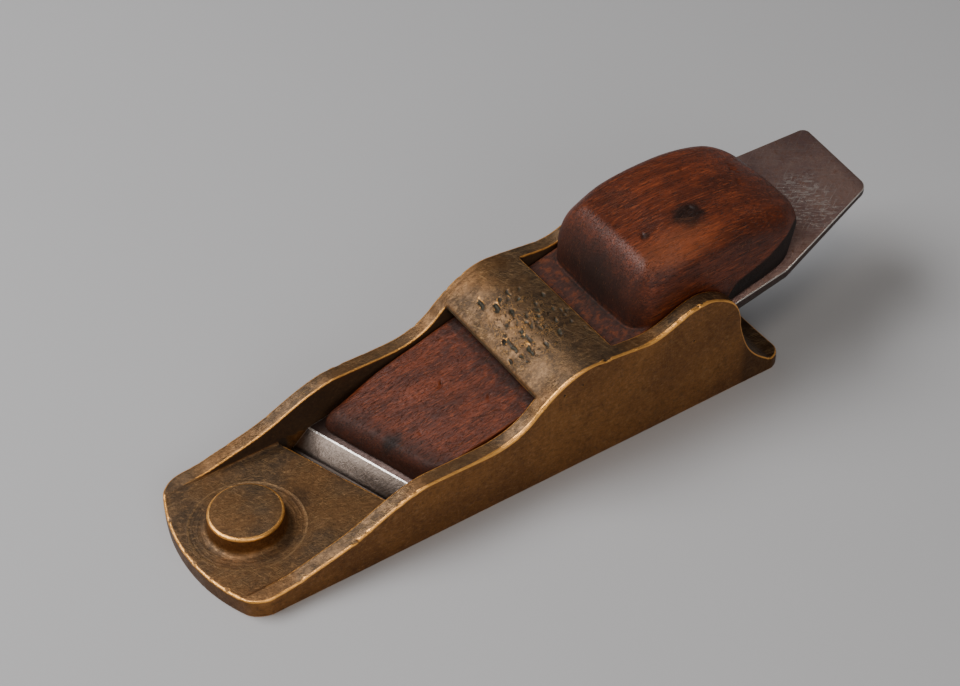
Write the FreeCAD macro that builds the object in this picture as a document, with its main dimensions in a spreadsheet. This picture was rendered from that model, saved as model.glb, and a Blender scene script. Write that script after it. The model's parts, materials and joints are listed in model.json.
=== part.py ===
import FreeCAD, Part
import os
import Sketcher

# Small cast gunmetal plane with a bridge, a low skewed iron and a wooden wedge.
# Millimetres. Origin: middle of the sole, on the sole. -X is the toe, +X the heel, +Z up.
# -Y is the left side for a person who pushes the plane towards -X.

V = FreeCAD.Vector
doc = FreeCAD.newDocument("HandPlane")

# ---------------------------------------------------------------- driving dimensions
DIMENSIONS = [
    ("toe_reach", 87.2, "origin to the foremost point of the toe"),
    ("heel_reach", 84.0, "origin to the end of the heel"),
    ("half_width", 25.3, "centre line to the outside of a cheek"),
    ("cheek_thick", 4.4, "thickness of a cheek"),
    ("toe_thick", 5.5, "thickness of the toe plate"),
    ("toe_radius", 50.0, "plan radius of the toe"),
    ("corner_radius", 4.0, "plan radius at the corners of the toe and heel"),
    ("toe_shoulder", 76.0, "origin forward to where the cheeks start"),
    ("heel_shoulder", 79.6, "origin back to where the cheeks end"),
    ("skew", 0.34, "how far the mouth runs forward for each millimetre to the right"),
    ("mouth_front", 41.2, "origin forward to the front of the mouth, on the centre line"),
    ("edge_front", 40.0, "origin forward to the cutting edge, on the centre line"),
    ("bed_slope", 0.2217, "rise of the bed for each millimetre along, 12.5 degrees"),
    ("bed_lip", 0.8, "height of the blunt front end of the bed"),
    ("bed_end", 68.0, "origin back to the top end of the bed"),
    ("heel_thick", 4.2, "thickness of the heel's shelf"),
    ("rail_height", 19.0, "height of the level part of a cheek, beside the wedge"),
    ("hump_height", 33.3, "height of a cheek at the bridge"),
    ("dip_height", 31.9, "height of a cheek behind the bridge"),
    ("ear_height", 36.7, "height of a cheek beside the palm swell"),
    ("bridge_front", 4.5, "origin back to the front of the bridge"),
    ("bridge_back", 28.0, "origin back to the rear of the bridge"),
    ("bridge_lip", 27.0, "height of the bridge's upper front edge"),
    ("wedge_top", 22.4, "height of the wedge's top face at the front of the bridge"),
    ("wedge_slope", 0.25, "rise of the wedge's top face for each millimetre along"),
    ("wedge_half_width", 20.2, "centre line to the side of the wedge"),
    ("wedge_nose", 31.4, "origin forward to the wedge's nose, on the centre line"),
    ("iron_half_width", 20.5, "centre line to the side of the iron, a 1-5/8 inch iron"),
    ("iron_height", 13.25, "height of the iron's top face above the origin"),
    ("iron_slope", 0.1998, "rise of the iron's top face for each millimetre along"),
    ("iron_tail", 122.1, "origin back to the end of the iron"),
    ("bevel_back", 32.8, "origin forward to the back of the bevel, on the centre line"),
    ("bit_thick", 1.5, "thickness of the laid steel under the iron"),
    ("bit_full", 10.0, "origin back to where the steel's scarf starts"),
    ("bit_end", 22.0, "origin back to where the steel's scarf ends"),
    ("slide_gap", 0.1, "clearance between sliding faces"),
    ("bridge_gap", 0.15, "clearance between the bridge and the wedge"),
    ("button_place", 69.5, "origin forward to the centre of the toe button"),
    ("button_radius", 10.0, "radius of the toe button"),
    ("button_height", 5.3, "height of the toe button above the toe plate"),
    ("button_foot", 12.0, "radius of the toe button's fillet where it meets the toe plate"),
    ("swell_front", 36.2, "origin back to the front of the palm swell"),
    ("swell_back", 96.0, "origin back to the rear of the palm swell"),
    ("swell_crown", 51.8, "height of the palm swell's crown"),
    ("swell_corner", 13.0, "plan radius at the rear corners of the palm swell"),
]


class Size:
    """A length with its value and the spreadsheet expression that it comes from."""

    def __init__(self, value, text):
        self.value = value
        self.text = text

    def __neg__(self):
        return Size(-self.value, f"(-{self.text})")

    def __add__(self, other):
        other = as_size(other)
        return Size(self.value + other.value, f"({self.text} + {other.text})")

    def __sub__(self, other):
        other = as_size(other)
        return Size(self.value - other.value, f"({self.text} - {other.text})")

    def __mul__(self, other):
        other = as_size(other)
        return Size(self.value * other.value, f"({self.text} * {other.text})")

    def __truediv__(self, other):
        other = as_size(other)
        return Size(self.value / other.value, f"({self.text} / {other.text})")


def as_size(number):
    """A plain number as a Size."""
    if isinstance(number, Size):
        return number
    return Size(float(number), f"({float(number)!r})")


def make_sheet():
    """The spreadsheet of driving dimensions, and each of them as a Size."""
    sheet = doc.addObject("Spreadsheet::Sheet", "Sizes")
    sizes = {}
    for row, (alias, value, meaning) in enumerate(DIMENSIONS, start=1):
        sheet.set(f"A{row}", meaning)
        sheet.set(f"B{row}", str(value))
        sheet.setAlias(f"B{row}", alias)
        sizes[alias] = Size(value, f"Sizes.{alias}")
    doc.recompute()
    return sizes


S = make_sheet()

# ---------------------------------------------------------------- sketch and feature helpers


def make_body(label):
    body = doc.addObject("PartDesign::Body", label)
    body.Label = label
    return body


def make_sketch(body, name, role, shift=0.0):
    """A sketch on one of the body's own origin planes, moved along the plane's normal by shift."""
    sketch = body.newObject("Sketcher::SketchObject", name)
    plane = next(f for f in body.Origin.OriginFeatures if f.Role == role)
    sketch.AttachmentSupport = [(plane, "")]
    sketch.MapMode = "FlatFace"
    shift = as_size(shift)
    sketch.setExpression("AttachmentOffset.Base.z", shift.text)
    return sketch


def pin_point(sketch, edge, end, point):
    """Holds one end of a sketch edge at a point given as two Sizes."""
    for kind, size in zip(("DistanceX", "DistanceY"), point):
        size = as_size(size)
        index = sketch.addConstraint(Sketcher.Constraint(kind, -1, 1, edge, end, size.value))
        sketch.setExpression(f"Constraints[{index}]", size.text)


def flat(point):
    return V(as_size(point[0]).value, as_size(point[1]).value, 0)


def draw_outline(sketch, corners, curves=None):
    """A closed outline through the corners. curves maps a corner's number to points that the edge
    leaving it is a smooth curve through; the other edges are straight."""
    curves = curves or {}
    count = len(corners)
    for number, corner in enumerate(corners):
        following = corners[(number + 1) % count]
        if number in curves:
            curve = Part.BSplineCurve()
            curve.interpolate([flat(corner)] + [flat(p) for p in curves[number]] + [flat(following)])
            sketch.addGeometry(curve, False)
        else:
            sketch.addGeometry(Part.LineSegment(flat(corner), flat(following)), False)
    for number in range(count):
        sketch.addConstraint(Sketcher.Constraint("Coincident", number, 2, (number + 1) % count, 1))
        pin_point(sketch, number, 1, corners[number])


def pad(body, name, sketch, length, both_ways=False, backwards=False):
    feature = body.newObject("PartDesign::Pad", name)
    feature.Profile = sketch
    feature.setExpression("Length", as_size(length).text)
    feature.Midplane = both_ways
    feature.Reversed = backwards
    doc.recompute()
    return feature


def pocket_through(body, name, sketch):
    """Cuts a closed outline right through the body, both ways, and checks that it removed something."""
    before = body.Shape.Volume
    feature = body.newObject("PartDesign::Pocket", name)
    feature.Profile = sketch
    feature.Type = "ThroughAll"
    feature.Midplane = True
    doc.recompute()
    if body.Shape.Volume > before - 1.0:
        raise RuntimeError(f"{name} cut nothing")
    return feature


def run_skewed(feature, half_width):
    """Runs a pad or pocket from the left side to the right along the skewed mouth, not square across."""
    feature.UseCustomVector = True
    feature.Direction = V(-S["skew"].value, 1, 0)
    feature.setExpression("Direction.x", (-S["skew"]).text)
    feature.setExpression("Length", (half_width * 2.0).text)
    doc.recompute()
    return feature


def skewed_pad(body, name, section, half_width):
    """A solid with one outline all the way across, shifted forward with the skew of the mouth."""
    sketch = make_sketch(body, f"{name}_left", "XZ_Plane", half_width)
    draw_outline(sketch, section(-half_width))
    doc.recompute()
    feature = body.newObject("PartDesign::Pad", name)
    feature.Profile = sketch
    return run_skewed(feature, half_width)


def skewed_pocket(body, name, section, half_width):
    """Cuts away one outline all the way across, shifted forward with the skew of the mouth."""
    before = body.Shape.Volume
    sketch = make_sketch(body, f"{name}_left", "XZ_Plane", half_width)
    draw_outline(sketch, section(-half_width))
    doc.recompute()
    feature = body.newObject("PartDesign::Pocket", name)
    feature.Profile = sketch
    run_skewed(feature, half_width)
    if body.Shape.Volume > before - 1.0:
        raise RuntimeError(f"{name} cut nothing")
    return feature


def round_upright_edges(body, name, radius, wanted):
    """Rounds the upright edges whose middle point passes the test."""
    base = body.Tip
    names = []
    for number, edge in enumerate(base.Shape.Edges, start=1):
        ends = edge.Vertexes
        if len(ends) != 2:
            continue
        along = ends[1].Point - ends[0].Point
        upright = abs(along.x) < 0.01 and abs(along.y) < 0.01
        if upright and wanted((ends[0].Point + ends[1].Point) * 0.5):
            names.append(f"Edge{number}")
    feature = body.newObject("PartDesign::Fillet", name)
    feature.Base = (base, names)
    feature.setExpression("Radius", radius.text)
    doc.recompute()
    return feature


# ---------------------------------------------------------------- shared planes and lines
INNER = S["half_width"] - S["cheek_thick"]
IRON_HALF = S["iron_half_width"]
WEDGE_HALF = S["wedge_half_width"]


def bed_height(x, y):
    """The bed rises towards the heel and, because the mouth is skewed, towards the right side."""
    return S["bed_slope"] * (as_size(x) + S["edge_front"] + S["skew"] * as_size(y))


def iron_under(x, y):
    return bed_height(x, y) + S["slide_gap"]


def iron_top(x, y):
    return S["iron_height"] + S["iron_slope"] * (as_size(x) + S["skew"] * as_size(y))


def wedge_under(x, y):
    return iron_top(x, y) + S["slide_gap"]


def wedge_upper(x):
    """The wedge's top face is level from side to side, and bears on the bridge."""
    return S["wedge_top"] + S["wedge_slope"] * (as_size(x) - S["bridge_front"])


# The scoop at the back of the heel, from the end of the bed down to the shelf. The cheeks and
# the solid heel between them share it.
SCOOP_TOP_HEIGHT = 22.4
SCOOP = [(69.9, 15.9), (72.3, 11.0), (75.4, 7.4)]

# ---------------------------------------------------------------- the casting


def make_toe_plate():
    """The flat plate in front of the mouth, rounded at the toe, full width ahead of the cheeks."""
    body = make_body("toe_plate")
    sketch = make_sketch(body, "toe_outline", "XY_Plane")
    shoulder = -S["toe_shoulder"]
    corner_x = -82.0
    corners = [
        (corner_x, -S["half_width"]),
        (shoulder, -S["half_width"]),
        (shoulder, -INNER),
        (-S["mouth_front"] + S["skew"] * INNER, -INNER),
        (-S["mouth_front"] - S["skew"] * INNER, INNER),
        (shoulder, INNER),
        (shoulder, S["half_width"]),
        (corner_x, S["half_width"]),
    ]
    for number, corner in enumerate(corners[:-1]):
        sketch.addGeometry(Part.LineSegment(flat(corner), flat(corners[number + 1])), False)
    apex = (-S["toe_reach"], Size(0.0, "0"))
    toe = sketch.addGeometry(Part.Arc(flat(corners[-1]), flat(apex), flat(corners[0])), False)
    lines = len(corners) - 1
    for number in range(lines - 1):
        sketch.addConstraint(Sketcher.Constraint("Coincident", number, 2, number + 1, 1))
    sketch.addConstraint(Sketcher.Constraint("Coincident", lines - 1, 2, toe, 1))
    sketch.addConstraint(Sketcher.Constraint("Coincident", toe, 2, 0, 1))
    for number in range(1, lines):
        pin_point(sketch, number, 1, corners[number])
    sketch.addConstraint(Sketcher.Constraint("Horizontal", 0))
    sketch.addConstraint(Sketcher.Constraint("Horizontal", lines - 1))
    radius = sketch.addConstraint(Sketcher.Constraint("Radius", toe, S["toe_radius"].value))
    sketch.setExpression(f"Constraints[{radius}]", S["toe_radius"].text)
    reach = S["toe_reach"] - S["toe_radius"]
    centre = sketch.addConstraint(Sketcher.Constraint("DistanceX", -1, 1, toe, 3, -reach.value))
    sketch.setExpression(f"Constraints[{centre}]", (-reach).text)
    sketch.addConstraint(Sketcher.Constraint("PointOnObject", toe, 3, -1))
    doc.recompute()
    pad(body, "toe_slab", sketch, S["toe_thick"])
    round_upright_edges(body, "toe_corners", S["corner_radius"],
                        lambda p: p.x < shoulder.value - 1 and abs(p.y) > INNER.value)
    return body


def make_toe_button():
    """A low turned button with a softened rim, which flares into the toe plate with a hollow fillet."""
    body = make_body("toe_button")
    sketch = make_sketch(body, "button_outline", "XZ_Plane")
    corners = [
        (0, 0),
        (S["button_foot"], 0),
        (S["button_radius"], S["button_height"] * 0.4),
        (S["button_radius"], S["button_height"] * 0.84),
        (S["button_radius"] - 0.9, S["button_height"]),
        (0, S["button_height"]),
    ]
    foot_hollow = [(S["button_radius"] + 0.6, S["button_height"] * 0.12)]
    rim = [(S["button_radius"] - 0.26, S["button_height"] * 0.95)]
    draw_outline(sketch, corners, {1: foot_hollow, 3: rim})
    turned = body.newObject("PartDesign::Revolution", "button_turned")
    turned.Profile = sketch
    turned.ReferenceAxis = (sketch, ["V_Axis"])
    turned.Angle = 360.0
    body.setExpression("Placement.Base.x", (-S["button_place"]).text)
    body.setExpression("Placement.Base.z", S["toe_thick"].text)
    doc.recompute()
    return body


def make_cheek(label, towards_left):
    """A side wall: low at the toe, level beside the wedge, humped at the bridge, eared at the palm."""
    body = make_body(label)
    sketch = make_sketch(body, "cheek_outline", "XZ_Plane", INNER if towards_left else -INNER)
    rail, hump, dip, ear = (S[f"{part}_height"] for part in ("rail", "hump", "dip", "ear"))
    corners = [
        (-S["toe_shoulder"], 0),
        (S["heel_shoulder"], 0),
        (S["heel_shoulder"], S["heel_thick"]),
        (S["bed_end"], SCOOP_TOP_HEIGHT),
        (54.0, ear),
        (21.0, hump),
        (2.5, 25.3),
        (-31.0, rail),
        (-S["toe_shoulder"], S["toe_thick"]),
    ]
    curves = {
        2: list(reversed(SCOOP)),
        3: [(67.2, 27.3), (65.0, 31.6), (61.0, 34.8), (57.5, 36.3)],
        4: [(49.5, 35.7), (44.0, 33.4), (38.5, dip), (32.5, 32.1), (26.5, 32.8)],
        5: [(15.0, 32.8), (9.0, 30.2)],
        6: [(-2.0, 21.8), (-8.5, 19.5), (-14.0, rail), (-22.0, rail)],
        7: [(-38.0, 17.3), (-43.5, 15.1), (-52.0, 11.4), (-60.0, 9.1), (-69.0, 6.9)],
    }
    draw_outline(sketch, corners, curves)
    doc.recompute()
    pad(body, "cheek_wall", sketch, S["cheek_thick"], backwards=not towards_left)
    return body


def make_bridge():
    """The arched bar across the cheeks. The wedge bears on its sloping underside."""
    body = make_body("bridge")
    sketch = make_sketch(body, "bridge_outline", "XZ_Plane")
    front, back = S["bridge_front"], S["bridge_back"]
    corners = [
        (front, wedge_upper(front) + S["bridge_gap"]),
        (back, wedge_upper(back) + S["bridge_gap"]),
        (back, S["hump_height"] - 0.9),
        (front, S["bridge_lip"]),
    ]
    crown = [(24.5, 33.1), (20.5, S["hump_height"]), (15.5, 32.9), (10.0, 30.8)]
    draw_outline(sketch, corners, {2: crown})
    doc.recompute()
    pad(body, "bridge_bar", sketch, INNER * 2.0, both_ways=True)
    return body


def make_bed_ramp():
    """The solid slope between the cheeks that the iron lies on, with a blunt lip behind the mouth."""
    body = make_body("bed_ramp")
    lip_front = -S["edge_front"] + S["bed_lip"] / S["bed_slope"]
    plan = make_sketch(body, "ramp_plan", "XY_Plane")
    draw_outline(plan, [
        (lip_front + S["skew"] * INNER, -INNER),
        (S["bed_end"], -INNER),
        (S["bed_end"], INNER),
        (lip_front - S["skew"] * INNER, INNER),
    ])
    doc.recompute()
    pad(body, "ramp_block", plan, 30.0)

    def above_bed(y):
        low_x, high_x = -S["edge_front"] - S["skew"] * y, S["bed_end"] + 30.0
        return [
            (low_x, bed_height(low_x, y)),
            (high_x, bed_height(high_x, y)),
            (high_x, 40.0),
            (low_x, 40.0),
        ]

    skewed_pocket(body, "bed_slope_cut", above_bed, INNER + 5.0)
    return body


def make_heel_scoop():
    """The scooped heel behind the bed: a hollow curve down to a thin shelf across the full width."""
    body = make_body("heel_scoop")
    sketch = make_sketch(body, "scoop_outline", "XZ_Plane")
    corners = [
        (S["bed_end"], 0),
        (S["heel_shoulder"], 0),
        (S["heel_shoulder"], S["heel_thick"]),
        (S["bed_end"], SCOOP_TOP_HEIGHT),
    ]
    draw_outline(sketch, corners, {2: list(reversed(SCOOP))})
    doc.recompute()
    pad(body, "scoop_curve", sketch, INNER * 2.0, both_ways=True)
    shelf = make_sketch(body, "shelf_outline", "XY_Plane")
    draw_outline(shelf, [
        (S["heel_shoulder"], -S["half_width"]),
        (S["heel_reach"], -S["half_width"]),
        (S["heel_reach"], S["half_width"]),
        (S["heel_shoulder"], S["half_width"]),
    ])
    doc.recompute()
    pad(body, "heel_shelf", shelf, S["heel_thick"])
    round_upright_edges(body, "heel_corners", S["corner_radius"],
                        lambda p: p.x > S["heel_reach"].value - 0.1)
    return body


# ---------------------------------------------------------------- the iron


def bevel_points(y):
    """The cutting edge, the top of the steel on the bevel, and the back of the bevel, at one side."""
    edge_x = -S["edge_front"] - S["skew"] * y
    back_x = -S["bevel_back"] - S["skew"] * y
    edge = (edge_x, iron_under(edge_x, y))
    back = (back_x, iron_top(back_x, y))
    rise = back[1].value - edge[1].value
    run = back[0].value - edge[0].value
    share = S["bit_thick"].value / (rise - S["bed_slope"].value * run)
    seam = (edge[0] + (back[0] - edge[0]) * share, edge[1] + (back[1] - edge[1]) * share)
    return edge, seam, back


def make_steel_bit():
    """The thin laid steel under the iron, which carries the cutting edge and ends in a scarf."""
    body = make_body("steel_bit")

    def section(y):
        edge, seam, _ = bevel_points(y)
        full = S["bit_full"] - S["skew"] * y
        end = S["bit_end"] - S["skew"] * y
        return [
            edge,
            (end, iron_under(end, y)),
            (full, iron_under(full, y) + S["bit_thick"]),
            seam,
        ]

    skewed_pad(body, "steel_layer", section, IRON_HALF)
    return body


def make_iron_blank():
    """The tapered iron above the steel: bevelled in front, narrowed and rounded at the tail."""
    body = make_body("iron_blank")

    def section(y):
        _, seam, back = bevel_points(y)
        full = S["bit_full"] - S["skew"] * y
        end = S["bit_end"] - S["skew"] * y
        tail = S["iron_tail"] + S["iron_half_width"] - S["skew"] * y
        return [
            seam,
            (full, iron_under(full, y) + S["bit_thick"]),
            (end, iron_under(end, y)),
            (tail, iron_under(tail, y)),
            (tail, iron_top(tail, y)),
            back,
        ]

    skewed_pad(body, "iron_plate", section, IRON_HALF)
    waste = make_sketch(body, "tail_waste", "XY_Plane")
    clear = IRON_HALF + 2.0
    beyond = S["iron_tail"] + IRON_HALF * 2.0
    draw_outline(waste, [
        (86.6, -clear),
        (86.6, -IRON_HALF),
        (118.0, -12.6),
        (S["iron_tail"] - 0.7, -9.6),
        (S["iron_tail"], 14.3),
        (119.3, 16.7),
        (101.0, IRON_HALF),
        (101.0, clear),
        (beyond, clear),
        (beyond, -clear),
    ], {2: [(120.5, -11.5)], 4: [(121.3, 15.9)]})
    doc.recompute()
    pocket_through(body, "tail_shape", waste)
    return body


# ---------------------------------------------------------------- the wedge


def make_wedge_shank():
    """The front of the wooden wedge, under the bridge, with a rounded nose skewed like the bevel."""
    body = make_body("wedge_shank")
    sketch = make_sketch(body, "shank_side", "XZ_Plane")
    front, back = -S["wedge_nose"] - 15.0, S["swell_front"]
    draw_outline(sketch, [
        (front, 0),
        (back, 0),
        (back, wedge_upper(back)),
        (front, wedge_upper(front)),
    ])
    doc.recompute()
    pad(body, "shank_block", sketch, WEDGE_HALF * 2.0, both_ways=True)

    def below_iron(y):
        low_x, high_x = -S["wedge_nose"] - S["skew"] * y - 12.0, S["swell_front"] + 20.0
        return [
            (low_x, -10.0),
            (high_x, -10.0),
            (high_x, wedge_under(high_x, y)),
            (low_x, wedge_under(low_x, y)),
        ]

    def ahead_of_nose(y):
        nose = -S["wedge_nose"] - S["skew"] * y
        foot = wedge_under(nose, y)
        return [
            (nose - 30.0, -10.0),
            (nose, -10.0),
            (nose, foot + 1.6),
            (nose + 1.2, foot + 3.6),
            (nose + 7.0, foot + 12.0),
            (nose - 30.0, foot + 12.0),
        ]

    skewed_pocket(body, "iron_seat", below_iron, WEDGE_HALF + 1.0)
    skewed_pocket(body, "nose_round", ahead_of_nose, WEDGE_HALF + 1.0)
    return body


def make_palm_swell():
    """The rear of the wedge: a tall palm rest on the iron, crowned on top and tucked in below its rear."""
    body = make_body("palm_swell")
    side = make_sketch(body, "swell_side", "XZ_Plane")
    front, back, crown = S["swell_front"], S["swell_back"], S["swell_crown"]
    corners = [
        (front, 15.0),
        (back - 3.0, 15.0),
        (back - 3.0, 31.0),
        (back, 42.0),
        (68.0, crown),
        (front + 2.4, 43.0),
        (front, 31.0),
    ]
    draw_outline(side, corners, {
        2: [(back - 0.9, 37.5)],
        3: [(92.5, 45.8), (86.0, 48.9), (77.0, 51.2)],
        4: [(57.0, 50.9), (47.0, 48.7), (40.5, 46.3)],
        5: [(front + 0.7, 37.5)],
    })
    doc.recompute()
    pad(body, "swell_block", side, WEDGE_HALF * 2.0, both_ways=True)
    trim_swell_plan(body)
    trim_swell_ends(body)

    def below_iron(y):
        low_x, high_x = S["swell_front"] - 20.0, S["swell_back"] + 20.0
        return [
            (low_x, -10.0),
            (high_x, -10.0),
            (high_x, wedge_under(high_x, y)),
            (low_x, wedge_under(low_x, y)),
        ]

    skewed_pocket(body, "swell_seat", below_iron, WEDGE_HALF + 1.0)
    return body


def trim_swell_plan(body):
    """Seen from above, the swell's front bows forward and its rear corners are well rounded."""
    waste = make_sketch(body, "swell_plan", "XY_Plane")
    back, half, corner = S["swell_back"], WEDGE_HALF, S["swell_corner"]
    outside, beyond = half + 2.0, back + 2.0
    draw_outline(waste, [
        (back - corner, -half),
        (back, -(half - corner)),
        (back, half - corner),
        (back - corner, half),
        (back - corner, outside),
        (beyond, outside),
        (beyond, -outside),
        (back - corner, -outside),
    ], {
        0: [(back - corner * 0.3, -(half - corner * 0.3))],
        2: [(back - corner * 0.3, half - corner * 0.3)],
    })
    doc.recompute()
    pocket_through(body, "swell_corners", waste)


def trim_swell_ends(body):
    """Seen from the end, the crown falls gently to rounded shoulders."""
    waste = make_sketch(body, "swell_section", "YZ_Plane")
    half, crown = WEDGE_HALF, S["swell_crown"]
    outside, above = half + 2.0, crown + 2.0
    draw_outline(waste, [
        (-half, 41.5),
        (0, crown),
        (half, 41.5),
        (outside, 41.5),
        (outside, above),
        (-outside, above),
        (-outside, 41.5),
    ], {
        0: [(-19.0, 45.0), (-16.0, 48.8), (-9.0, 51.1)],
        1: [(9.0, 51.1), (16.0, 48.8), (19.0, 45.0)],
    })
    doc.recompute()
    pocket_through(body, "swell_shoulders", waste)


# ---------------------------------------------------------------- build, check and write
PARTS = [
    make_toe_plate(),
    make_toe_button(),
    make_cheek("left_cheek", towards_left=True),
    make_cheek("right_cheek", towards_left=False),
    make_bridge(),
    make_bed_ramp(),
    make_heel_scoop(),
    make_steel_bit(),
    make_iron_blank(),
    make_wedge_shank(),
    make_palm_swell(),
]
doc.recompute()

for item in doc.Objects:
    if "Invalid" in item.State or "Error" in item.State:
        raise RuntimeError(f"{item.Label} failed: {item.State}")

os.makedirs("parts", exist_ok=True)
for part in PARTS:
    if part.Shape.isNull() or not part.Shape.isValid() or not part.Shape.Solids:
        raise RuntimeError(f"{part.Label} has no valid solid")
    part.Shape.exportStep(f"parts/{part.Label}.step")
    box = part.Shape.BoundBox
    print(f"{part.Label:12s} {part.Shape.Volume:9.0f} mm3  "
          f"X {box.XMin:7.2f} {box.XMax:7.2f}  Y {box.YMin:7.2f} {box.YMax:7.2f}  Z {box.ZMin:6.2f} {box.ZMax:6.2f}")
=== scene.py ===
import json
import math

import bmesh
import bpy
import numpy as np
from mathutils import Matrix, Vector


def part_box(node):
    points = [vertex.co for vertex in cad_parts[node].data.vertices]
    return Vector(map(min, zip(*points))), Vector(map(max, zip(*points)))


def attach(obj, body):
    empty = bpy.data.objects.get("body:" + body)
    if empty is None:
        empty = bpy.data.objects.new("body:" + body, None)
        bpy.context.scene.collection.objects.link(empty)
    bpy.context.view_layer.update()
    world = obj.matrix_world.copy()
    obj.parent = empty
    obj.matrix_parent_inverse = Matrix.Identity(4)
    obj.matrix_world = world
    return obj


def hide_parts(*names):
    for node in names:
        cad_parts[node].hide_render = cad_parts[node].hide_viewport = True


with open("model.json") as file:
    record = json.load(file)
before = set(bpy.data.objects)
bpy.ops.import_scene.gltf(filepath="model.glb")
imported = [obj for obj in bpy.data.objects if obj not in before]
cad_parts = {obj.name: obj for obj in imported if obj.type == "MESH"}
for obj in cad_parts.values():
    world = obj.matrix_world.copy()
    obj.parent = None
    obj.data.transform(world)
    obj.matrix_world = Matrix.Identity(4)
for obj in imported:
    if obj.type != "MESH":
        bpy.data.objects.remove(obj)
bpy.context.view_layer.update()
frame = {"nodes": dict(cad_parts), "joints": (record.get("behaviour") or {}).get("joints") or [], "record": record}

# The looks of a small cast gunmetal hand plane with a wooden wedge and a skewed iron.
# Shapes are worked out in millimetres in the CAD frame: -X toe, +X heel, +Z up, sole at z = 0.
MM = 0.001
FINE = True
RANDOM = np.random.default_rng(7)


def box_mm(node):
    """The lowest and highest corner of a CAD node, in millimetres."""
    low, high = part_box(node)
    return np.array(low) / MM, np.array(high) / MM


# ---------------------------------------------------------------- places read from the frame
TOE_LOW, TOE_HIGH = box_mm("toe_plate")
BUTTON_LOW, BUTTON_HIGH = box_mm("toe_button")
BED_LOW, BED_HIGH = box_mm("bed_ramp")
HEEL_LOW, HEEL_HIGH = box_mm("heel_scoop")
BRIDGE_LOW, BRIDGE_HIGH = box_mm("bridge")
CHEEK_LOW, CHEEK_HIGH = box_mm("left_cheek")
BIT_LOW, BIT_HIGH = box_mm("steel_bit")
BLANK_LOW, BLANK_HIGH = box_mm("iron_blank")
SHANK_LOW, SHANK_HIGH = box_mm("wedge_shank")
SWELL_LOW, SWELL_HIGH = box_mm("palm_swell")
BUTTON_X = (BUTTON_LOW[0] + BUTTON_HIGH[0]) / 2
BUTTON_RADIUS = 9.9
TOE_RADIUS = 50.0
BRIDGE_LIP = 27.0
AXES = {joint["name"]: joint["axis"] for joint in frame["joints"]}

HALF_WIDTH = TOE_HIGH[1]
INNER = BED_HIGH[1]
PLATFORM = TOE_HIGH[2]
BED_SLOPE = AXES["iron_slide"][2] / AXES["iron_slide"][0]
IRON_SLOPE = AXES["wedge_slide"][2] / AXES["wedge_slide"][0]
IRON_HALF = BIT_HIGH[1]
WEDGE_HALF = SHANK_HIGH[1]
SKEW = 0.34
TAIL_CORNER = (119.3, 16.7)
EDGE_X = BIT_LOW[0] + SKEW * IRON_HALF
WEDGE_SLOPE = 0.25


def bed_height(x, y):
    """The bed that the iron lies on: it rises towards the heel and towards the right side."""
    return BED_SLOPE * (x - EDGE_X + SKEW * y)


def iron_top(x, y):
    """The iron's upper face, which the wedge lies on."""
    tail_height = BLANK_HIGH[2] + 0.02
    return tail_height + IRON_SLOPE * (x - TAIL_CORNER[0] + SKEW * (y - TAIL_CORNER[1]))


def wedge_upper(x):
    """The wedge's upper face, level from side to side."""
    return SHANK_HIGH[2] + WEDGE_SLOPE * (x - SHANK_HIGH[0])


# ---------------------------------------------------------------- shaping with distance fields
# A field holds at each point of a grid the distance to a surface, negative inside.


def smooth_curve(points, steps=8):
    """Points along a Catmull-Rom curve through the given points."""
    p = np.array(points, float)
    p = np.vstack([2 * p[0] - p[1], p, 2 * p[-1] - p[-2]])
    rows = []
    for a, b, c, d in zip(p[:-3], p[1:-2], p[2:-1], p[3:]):
        for t in np.arange(steps) / steps:
            rows.append(0.5 * (2 * b + (c - a) * t + (2 * a - 5 * b + 4 * c - d) * t**2
                               + (3 * b - a - 3 * c + d) * t**3))
    rows.append(p[-2])
    return np.array(rows)


def outline_distance(u, v, outline):
    """Signed distance from points (u, v) to a closed outline, negative inside it."""
    best = np.full(np.broadcast(u, v).shape, 1e9)
    inside = np.zeros(best.shape, bool)
    for (au, av), (bu, bv) in zip(outline, np.roll(outline, -1, axis=0)):
        du, dv = bu - au, bv - av
        length = du * du + dv * dv
        if length < 1e-12:
            continue
        t = np.clip(((u - au) * du + (v - av) * dv) / length, 0, 1)
        best = np.minimum(best, (u - au - t * du) ** 2 + (v - av - t * dv) ** 2)
        if dv != 0:
            spans = (v >= min(av, bv)) & (v < max(av, bv))
            inside ^= spans & (u < au + (v - av) * du / dv)
    return np.where(inside, -1, 1) * np.sqrt(best)


def both(a, b, radius=0.0):
    """The overlap of two shapes, with its outside corner rounded."""
    if np.isscalar(radius) and radius <= 0:
        return np.maximum(a, b)
    corner = np.hypot(np.maximum(a + radius, 0), np.maximum(b + radius, 0))
    return np.minimum(np.maximum(a, b), -radius) + corner


def either(a, b, radius=0.0):
    """Two shapes joined, with a hollow fillet between them."""
    return -both(-a, -b, radius)


def ramp(value, low, high):
    """0 below low, 1 above high, smooth between."""
    t = np.clip((value - low) / (high - low), 0, 1)
    return t * t * (3 - 2 * t)


def ripple(x, y, z, wavelength, seed):
    """A gentle uneven wave, between about -1 and 1, for surfaces that were worked by hand."""
    waves = np.random.default_rng(seed)
    total = 0.0
    for _ in range(7):
        direction = waves.normal(size=3)
        direction /= np.linalg.norm(direction)
        turn = 2 * math.pi / (wavelength * waves.uniform(0.7, 1.6))
        phase = waves.uniform(0, 2 * math.pi)
        total = total + np.sin(turn * (direction[0] * x + direction[1] * y + direction[2] * z) + phase)
    return total / 3.0


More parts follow.
